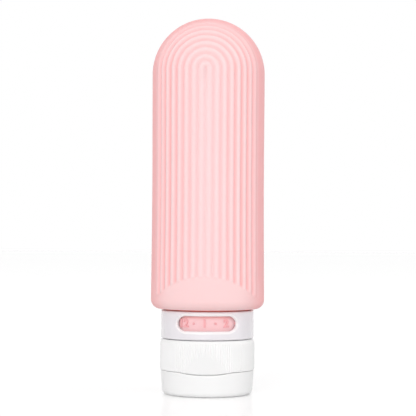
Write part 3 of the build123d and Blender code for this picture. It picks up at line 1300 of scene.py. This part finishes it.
    def shell(self, draft: MeshDraft, turns: list[float]) -> list[list[int]]:
        """Draws the outside from the lower rim to the open end.

        Args:
            draft: The draft to draw in.
            turns: Degrees of the columns.

        Returns:
            The rings from bottom to top.
        """
        low = steps_up(self.bottom + self.rows_apart,
                       (self.seat_top - self.before_seat, self.fine_step))
        high = steps_up(self.seat_top + self.rows_apart / 2,
                        (self.bottom + self.scoop_height + self.past_scoop, self.fine_step),
                        (self.top - self.bevel_down - self.rows_apart, self.plain_step),
                        (self.top - self.before_mouth, self.bevel_step))
        seat = [self.seat_top - self.seat_edge, self.seat_top + self.seat_edge]
        rows = [(self.bottom + up, inset) for up, inset in self.rim_rows]
        rows += [(height, 0.0) for height in low + seat + high]
        rows += [(self.top - down, inset) for down, inset in self.mouth_rows]
        return [self.ring_at(draft, turns, level, [
            self.outside(turn, level - self.sag(turn, level), inset) for turn in turns])
            for level, inset in rows]

    def inside_profile(self) -> Profile:
        """Draws the profile from the open end over the boss and the nozzle and out to the rim.

        Returns:
            Radius and height of each point.
        """
        corners = [
            (self.thread_bore + self.mouth_bevel, self.top, self.mouth_corner),
            (self.thread_bore, self.top - self.mouth_bevel, 0),
            (self.thread_bore, self.step_bottom + self.step_height, 0),
            (self.seal_wall, self.step_bottom, 0),
            (self.seal_wall, self.deck_top, self.corner),
            (self.boss_radius, self.deck_top, self.corner),
            (self.boss_radius, self.boss_top, self.corner),
            (self.boss_bore, self.boss_top, self.corner),
            (self.boss_bore, self.deck_top, self.fine_corner),
            (self.outlet_radius, self.deck_top, self.fine_corner),
            (self.outlet_radius, self.nozzle_end, self.outlet_corner),
            (self.nozzle_radius, self.nozzle_end, self.outlet_corner),
            (self.nozzle_radius, self.deck_bottom, self.deck_corner),
            (self.rim_bore, self.deck_bottom, self.deck_corner),
            (self.rim_bore, self.bottom, self.corner),
        ]
        rim = (self.radius, self.bottom, 0)
        return rounded_profile([*corners, rim])[:-1]

    def snap_ring(self) -> MeshDraft:
        """Draws the ring that stands inside the lid's rim, open at the hinge.

        Returns:
            The ring's draft.
        """
        draft = MeshDraft()
        root, end = self.bottom + self.sunk, self.bottom - self.snap_reach
        section = rounded_profile([
            (self.snap_radius, root, 0),
            (self.snap_radius, end, self.deck_corner),
            (self.rim_bore, end, self.corner),
            (self.rim_bore, root, 0),
        ])
        gap = math.degrees(math.asin(self.snap_gap_half / self.snap_radius))
        rows = []
        for step in range(self.snap_steps + 1):
            turn = -180 + gap + (360 - 2 * gap) * step / self.snap_steps
            rows.append(draft.row([polar(across, turn, height) for across, height in section]))
        draft.loft(rows)
        draft.faces += [tuple(rows[0]), tuple(rows[-1])]
        return draft

    def thread(self) -> MeshDraft:
        """Draws the helical ridge inside the bore, half a pitch away from the collar's.

        Returns:
            The ridge's draft.
        """
        draft = MeshDraft()
        clear = self.thread_margin + self.thread_root / 2
        collar_start = self.collar_sleeve_bottom + clear
        start = self.step_bottom + self.step_height + clear
        end = self.top - self.mouth_bevel - clear
        turns = (end - start) / self.thread_pitch
        first_turn = 90 + 360 * ((start - collar_start) / self.thread_pitch - 0.5)
        foot, crest = self.thread_bore + self.sunk, self.thread_bore - self.thread_height
        section = [(foot, -self.thread_root / 2), (crest, -self.thread_crest / 2),
                   (crest, self.thread_crest / 2), (foot, self.thread_root / 2)]
        rows = []
        for step in range(self.thread_steps + 1):
            share = step / self.thread_steps
            rows.append(draft.row([
                polar(across, first_turn + 360 * turns * share, start + (end - start) * share + up)
                for across, up in section]))
        draft.loft(rows)
        draft.faces += [tuple(rows[0]), tuple(rows[-1])]
        return draft

    def build(self, wardrobe: Wardrobe) -> None:
        """Builds the cap and dresses it.

        Args:
            wardrobe: The finishes.
        """
        draft = MeshDraft()
        turns = self.turns()
        rings = self.shell(draft, turns)
        for across, height in self.inside_profile():
            if height < self.bottom + self.dip_margin:
                rings.append(self.ring_at(draft, turns, height, [across] * len(turns)))
            else:
                rings.append(draft.ring(across, height, turns))
        draft.loft(rings)
        draft.bridge(rings[-1], rings[0])
        piece = draft.to_piece("screw_cap")
        wardrobe.dress(piece, Slot.WHITE_PLASTIC)
        settle(piece, Body.CAP, "cap_base")
        for name, part in (("cap_thread", self.thread()), ("cap_snap_ring", self.snap_ring())):
            piece = part.to_piece(name)
            wardrobe.dress(piece, Slot.WHITE_PLASTIC)
            settle(piece, Body.CAP)


@dataclass
class FlipLid:
    """The flip lid that the bottle stands on, with its stopper and the thumb tongue's notch.

    Each row at the rim has its share of the way up from the hinge seat, its inset and its drop.
    Each row on the lip has its outset and its drop.
    """

    height: float = 8.35
    rim_radius: float = 16.14
    foot_radius: float = 15.67
    foot_round: float = 1.75
    wall: float = 1.42
    floor: float = 1.4
    inner_round: float = 1.0
    notch_half_width: float = 9.3
    notch_depth: float = 0.9
    seat_plane: float = 15.02
    seat_bottom: float = 5.95
    pad_depth: float = 1.6
    pad_half_width: float = 6.0
    plug_radius: float = 3.7
    plug_bore: float = 2.7
    plug_top: float = 8.2
    plug_bevel: float = 0.35
    columns: int = 480
    notch_margin: float = 2.0
    notch_blend: float = 0.15
    face_radii: tuple[float, ...] = (1.0, 7.0)
    foot_margin: float = 0.2
    foot_steps: int = 8
    side_shares: tuple[float, ...] = (0.2, 0.4, 0.6, 0.8, 0.998, 1.002)
    rim_rows: tuple[tuple[float, float, float], ...] = (
        (0.3, 0, 0), (0.55, 0, 0), (0.78, 0, 0),
        (1, 0, 0.25), (1, 0.03, 0.12), (1, 0.11, 0.03), (1, 0.25, 0))
    lip_rows: tuple[tuple[float, float], ...] = ((0.2, 0), (0.06, 0.05), (0, 0.2))
    wall_shares: tuple[float, ...] = (0.3, 0.65, 1.0)
    inner_steps: int = 6
    stopper_margin: float = 1.5
    stopper_corner: float = 0.25
    plug_corners: tuple[float, float, float] = (0.1, 0.15, 0.2)
    pad_sunk: float = 0.05
    pad_slope: float = 1.6
    pad_root: float = 0.1
    pad_bevel: float = 0.15
    pad_shares: tuple[float, ...] = (-1, -0.97, 0.97, 1)

    def turns(self) -> list[float]:
        """Degrees of the columns."""
        return [360 * index / self.columns for index in range(self.columns)]

    def rim_height(self, turn: float) -> float:
        """Finds the height of the rim, lower in the notch at the front.

        Args:
            turn: Degrees of the column.

        Returns:
            The height over the floor.
        """
        if math.cos(math.radians(turn)) < 0:
            return self.height
        across = self.rim_radius * math.sin(math.radians(turn))
        sweep = (self.notch_half_width**2 + self.notch_depth**2) / (2 * self.notch_depth)
        if abs(across) >= self.notch_half_width + self.notch_margin:
            return self.height
        dip = self.height - self.notch_depth + sweep - math.sqrt(sweep**2 - across**2)
        return soft_min(self.height, dip, self.notch_blend)

    def side_radius(self, turn: float, height: float) -> float:
        """Finds the radius of the outside, flat behind at the hinge seat.

        Args:
            turn: Degrees of the column.
            height: Height over the floor.

        Returns:
            The radius.
        """
        share = (height - self.foot_round) / (self.height - self.foot_round)
        side = self.foot_radius + (self.rim_radius - self.foot_radius) * share
        back = -math.cos(math.radians(turn))
        if height > self.seat_bottom and back > WELL_FACING:
            side = min(side, self.seat_plane / back)
        return side

    def shell(self, draft: MeshDraft, turns: list[float]) -> list[list[int]]:
        """Draws the foot, the side, the rim and the inside down to the floor.

        Args:
            draft: The draft to draw in.
            turns: Degrees of the columns.

        Returns:
            The rings from the middle of the standing face to the middle of the floor.
        """
        foot_inside = self.foot_radius - self.foot_round - self.foot_margin
        rings = [draft.ring(across, 0.0, turns) for across in (*self.face_radii, foot_inside)]
        for step in range(self.foot_steps + 1):
            angle = math.radians(90 * step / self.foot_steps)
            rings.append(draft.ring(self.foot_radius - self.foot_round * (1 - math.sin(angle)),
                                    self.foot_round * (1 - math.cos(angle)), turns))
        for share in self.side_shares:
            level = self.foot_round + (self.seat_bottom - self.foot_round) * share
            rings.append(draft.row([polar(self.side_radius(turn, level), turn, level)
                                    for turn in turns]))
        rims = [self.rim_height(turn) for turn in turns]
        for share, inset, drop in self.rim_rows:
            levels = [self.seat_bottom + (rim - self.seat_bottom) * share - drop for rim in rims]
            rings.append(draft.row([polar(self.side_radius(turn, level) - inset, turn, level)
                                    for turn, level in zip(turns, levels)]))
        inner, inner_foot = self.rim_radius - self.wall, self.foot_radius - self.wall
        for outset, drop in self.lip_rows:
            rings.append(draft.row([polar(inner + outset, turn, rim - drop)
                                    for turn, rim in zip(turns, rims)]))
        lip_drop = self.lip_rows[-1][1]
        for share in self.wall_shares:
            across = inner + (inner_foot - inner) * share
            foot = self.floor + self.inner_round
            rings.append(draft.row([
                polar(across, turn, rim - lip_drop + (foot - rim + lip_drop) * share)
                for turn, rim in zip(turns, rims)]))
        for step in range(1, self.inner_steps + 1):
            angle = math.radians(90 * step / self.inner_steps)
            rings.append(draft.ring(inner_foot - self.inner_round * (1 - math.cos(angle)),
                                    self.floor + self.inner_round * (1 - math.sin(angle)), turns))
        return rings

    def stopper_profile(self) -> Profile:
        """Draws the profile from the lid's floor over the stopper ring to the middle.

        Returns:
            Radius and height of each point.
        """
        below_bevel, at_bevel, at_bore = self.plug_corners
        return rounded_profile([
            (self.plug_radius + self.stopper_margin, self.floor, 0),
            (self.plug_radius, self.floor, self.stopper_corner),
            (self.plug_radius, self.plug_top - self.plug_bevel, below_bevel),
            (self.plug_radius - self.plug_bevel, self.plug_top, at_bevel),
            (self.plug_bore, self.plug_top, at_bore),
            (self.plug_bore, self.floor, self.stopper_corner),
            (self.face_radii[0], self.floor, 0),
        ])

    def hinge_pad(self) -> MeshDraft:
        """Draws the block inside the lid that backs the hinge seat.

        Returns:
            The block's draft.
        """
        draft = MeshDraft()
        inner, outer = self.seat_plane - self.pad_depth, self.seat_plane - self.pad_sunk
        low = self.seat_bottom - self.pad_root
        section = ((outer, low - self.pad_slope), (inner, low),
                   (inner, self.height - self.pad_bevel), (inner + self.pad_bevel, self.height),
                   (outer, self.height))
        corners = [self.pad_half_width * share for share in self.pad_shares]
        rows = [draft.row([(across, depth, level) for across in corners])
                for depth, level in section]
        draft.loft(rows, closed=False)
        draft.bridge(rows[-1], rows[0], closed=False)
        draft.faces.append(tuple(row[0] for row in rows))
        draft.faces.append(tuple(row[-1] for row in reversed(rows)))
        return draft

    def build(self, wardrobe: Wardrobe) -> None:
        """Builds the lid and dresses it.

        Args:
            wardrobe: The finishes.
        """
        draft = MeshDraft()
        turns = self.turns()
        rings = self.shell(draft, turns)
        rings += [draft.ring(across, height, turns) for across, height in self.stopper_profile()]
        draft.loft(rings)
        draft.fan(rings[0], (0, 0, 0))
        draft.fan(rings[-1], (0, 0, self.floor))
        piece = draft.to_piece("flip_cover")
        wardrobe.dress(piece, Slot.WHITE_PLASTIC)
        settle(piece, Body.LID, "flip_lid")
        pad = self.hinge_pad().to_piece("hinge_pad")
        wardrobe.dress(pad, Slot.WHITE_PLASTIC)
        settle(pad, Body.LID)


@dataclass
class FilmHinge:
    """The thin strip that joins cap and lid behind, and bends as the lid opens."""

    width: float = 10.0
    film: float = 0.35
    leaf: float = 1.5
    inner_face: float = 15.02
    axis_height: float = 8.4
    bend_reach: float = 0.45
    waist: float = 0.08
    waist_reach: float = 0.35
    clearance: float = 0.01
    steps: int = 48
    inner_shares: tuple[float, ...] = (-1, -0.5, 0, 0.5, 1)
    outer_shares: tuple[float, ...] = (1, 0.98, 0.5, 0, -0.5, -0.98, -1)

    def build(self, wardrobe: Wardrobe) -> None:
        """Builds the strip between cap and lid, dresses it and hides the imported web.

        Args:
            wardrobe: The finishes.
        """
        draft = MeshDraft()
        rows = []
        half = self.width / 2
        inner = self.inner_face + self.clearance
        for step in range(self.steps + 1):
            up = self.leaf * (1 - 2 * step / self.steps)
            thin = self.waist * math.exp(-((up / self.waist_reach) ** 2))
            outer, level = self.inner_face + self.film - thin, self.axis_height + up
            points = [(half * share, inner, level) for share in self.inner_shares]
            points += [(half * share, outer, level) for share in self.outer_shares]
            rows.append(draft.row(points))
        draft.loft(rows)
        draft.faces += [tuple(rows[0]), tuple(rows[-1])]
        piece = draft.to_piece("film_hinge")
        wardrobe.dress(piece, Slot.WHITE_PLASTIC)
        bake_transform(piece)
        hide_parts("hinge_web")
        LOG.info("piece %s bends between cap and lid", piece.name)


@dataclass
class InnerParts:
    """Collar, seal, valve and retainer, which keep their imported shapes."""

    finishes: dict[str, Slot] = field(default_factory=lambda: {
        "label_collar": Slot.FROSTED_PLASTIC,
        "seal_ring": Slot.CLEAR_SILICONE,
        "no_drip_valve": Slot.CLEAR_SILICONE,
        "valve_retainer": Slot.WHITE_PLASTIC,
    })

    def build(self, wardrobe: Wardrobe) -> None:
        """Dresses each carried-over node.

        Args:
            wardrobe: The finishes.
        """
        for node, slot in self.finishes.items():
            wardrobe.dress_node(node, slot)


@dataclass
class SoftLamp:
    """A large soft lamp that faces the bottle, with its distance and its sides in metres."""

    name: str
    azimuth: float
    elevation: float
    distance: float
    width: float
    height: float
    level: float

    def build(self, aim: Vector) -> None:
        """Hangs the lamp.

        Args:
            aim: The point that it faces, in metres.
        """
        lamp = bpy.data.lights.new(self.name, "AREA")
        lamp.shape = "RECTANGLE"
        lamp.size, lamp.size_y = self.width, self.height
        lamp.energy = self.level * math.pi**2 * self.distance**2
        holder = bpy.data.objects.new(self.name, lamp)
        turn, rise = math.radians(self.azimuth), math.radians(self.elevation)
        away = Vector((math.sin(turn) * math.cos(rise), -math.cos(turn) * math.cos(rise),
                       math.sin(rise)))
        holder.location = aim + away * self.distance
        holder.rotation_mode = "QUATERNION"
        holder.rotation_quaternion = (-away).to_track_quat("-Z", "Y")
        bpy.context.scene.collection.objects.link(holder)


@dataclass
class Studio:
    """Pale floor, white surroundings, soft lamps and the camera at the picture's angle.

    The camera's clip distances are in metres.
    """

    world_level: float = 0.56
    floor_radii: tuple[float, ...] = (40.0, 400.0, 6000.0)
    floor_sides: int = 64
    floor_colour: Colour = (0.8, 0.8, 0.8)
    floor_roughness: float = 0.2
    floor_glow: float = 0.20
    lamp_aim: Point = (0, 0, 65.0)
    camera_turn: float = 3.1
    camera_distance: float = 484.0
    camera_height: float = 53.2
    camera_pitch: float = 1.32
    camera_roll: float = 0.29
    focal_pixels: float = 1390.0
    picture_pixels: float = 416.0
    sensor: float = 36.0
    clip: tuple[float, float] = (0.01, 50.0)
    lamps: list[SoftLamp] = field(default_factory=lambda: [
        SoftLamp("lamp_front", -12, 12, 2.0, 1.4, 2.0, 0.59),
        SoftLamp("lamp_left", -80, 12, 1.6, 0.8, 1.6, 0.08),
        SoftLamp("lamp_right", 78, 12, 1.6, 0.8, 1.6, 0.29),
        SoftLamp("lamp_top", 0, 78, 1.6, 1.2, 1.2, 0.12),
    ])

    def white_rays(self, formula: Formula) -> Socket:
        """Tells camera, glossy and transmission rays from the rest.

        Args:
            formula: Arithmetic of the tree to add to.

        Returns:
            A socket that is 1 for those rays.
        """
        rays = formula.nodes.new("ShaderNodeLightPath").outputs
        seen = formula.calc("MAXIMUM", rays["Is Camera Ray"], rays["Is Glossy Ray"])
        return formula.calc("MAXIMUM", seen, rays["Is Transmission Ray"])

    def build_world(self) -> None:
        """Sets the white surroundings."""
        world = bpy.data.worlds.new("studio_white")
        world.use_nodes = True
        bpy.context.scene.world = world
        formula = Formula(world.node_tree)
        ground = formula.nodes["Background"]
        ground.inputs["Color"].default_value = (1, 1, 1, 1)
        strength = formula.scaled(self.white_rays(formula), self.world_level, 1.0)
        formula.links.new(strength, ground.inputs["Strength"])

    def build_floor(self) -> None:
        """Lays the pale floor, which keeps the bottle's soft shadow."""
        draft = MeshDraft()
        turns = [360 * index / self.floor_sides for index in range(self.floor_sides)]
        rings = draft.spin([(radius, 0.0) for radius in self.floor_radii], turns)
        draft.fan(rings[0], (0, 0, 0))
        floor = draft.to_piece("studio_floor")
        paint = bpy.data.materials.new("floor_paint")
        paint.use_nodes = True
        formula = Formula(paint.node_tree)
        shader = formula.nodes["Principled BSDF"]
        shader.inputs["Base Color"].default_value = (*self.floor_colour, 1)
        shader.inputs["Roughness"].default_value = self.floor_roughness
        shader.inputs["Emission Color"].default_value = (1, 1, 1, 1)
        glow = formula.times(self.white_rays(formula), self.floor_glow)
        formula.links.new(glow, shader.inputs["Emission Strength"])
        floor.data.materials.append(paint)

    def build_camera(self) -> None:
        """Places the camera."""
        camera = bpy.data.cameras.new("picture_camera")
        camera.sensor_width = self.sensor
        camera.lens = self.focal_pixels / self.picture_pixels * self.sensor
        camera.clip_start, camera.clip_end = self.clip
        holder = bpy.data.objects.new("picture_camera", camera)
        turn, rise = math.radians(self.camera_turn), math.radians(self.camera_pitch)
        away = Vector((math.sin(turn), -math.cos(turn), 0))
        holder.location = (away * self.camera_distance + Vector((0, 0, self.camera_height))) * MM
        sight = -away * math.cos(rise) + Vector((0, 0, math.sin(rise)))
        holder.rotation_mode = "QUATERNION"
        roll = Quaternion((0, 0, 1), math.radians(self.camera_roll))
        holder.rotation_quaternion = sight.to_track_quat("-Z", "Y") @ roll
        bpy.context.scene.collection.objects.link(holder)
        bpy.context.scene.camera = holder

    def build(self) -> None:
        """Builds the whole stage."""
        bpy.context.scene.view_settings.view_transform = "Standard"
        self.build_world()
        self.build_floor()
        for lamp in self.lamps:
            lamp.build(Vector(self.lamp_aim) * MM)
        self.build_camera()
        LOG.info("stage is set")


def main() -> None:
    """Builds every sub-assembly in order, from the stage inwards."""
    logging.basicConfig(level=logging.INFO, format="%(name)s: %(message)s")
    Studio().build()
    wardrobe = Wardrobe()
    SqueezeBody().build(wardrobe)
    DialBand().build(wardrobe)
    ScrewCap().build(wardrobe)
    FlipLid().build(wardrobe)
    FilmHinge().build(wardrobe)
    InnerParts().build(wardrobe)


if __name__ == "__main__":
    main()
